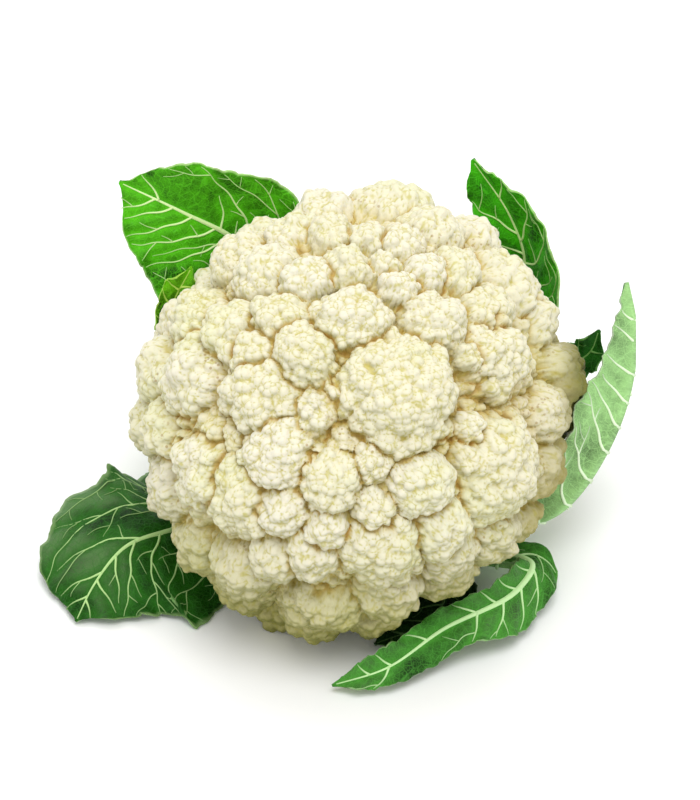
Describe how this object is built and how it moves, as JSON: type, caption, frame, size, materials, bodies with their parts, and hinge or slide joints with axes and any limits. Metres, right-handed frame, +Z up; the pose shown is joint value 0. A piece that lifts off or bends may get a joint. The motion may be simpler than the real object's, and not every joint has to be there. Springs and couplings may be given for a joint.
{
  "type": "cauliflower",
  "caption": "Whole fresh cauliflower with a lumpy cream head of florets, standing tilted on its cut stalk, with waved green leaves round it.",
  "frame": {"origin": "on the surface it stands on, below the middle of the whole object's box", "axes": "+Z up, -Y towards the front, where the head leans, +X to the right as seen from the front"},
  "size_m": [0.2417, 0.193, 0.1546],
  "materials": {
    "curd": "matt cream, granular floret buds",
    "stalk": "satin pale green-white stem, ivory at the cut",
    "leaf": "waxy green blade with pale raised veins"
  },
  "bodies": {
    "root": {"curd": "curd", "stalk": "stalk", "leaf_back_left": "leaf", "leaf_back_left_inner": "leaf", "leaf_back_right": "leaf", "leaf_right": "leaf", "leaf_right_inner": "leaf", "leaf_front_right": "leaf", "leaf_under_right": "leaf", "leaf_front_left": "leaf"}
  },
  "joints": []
}
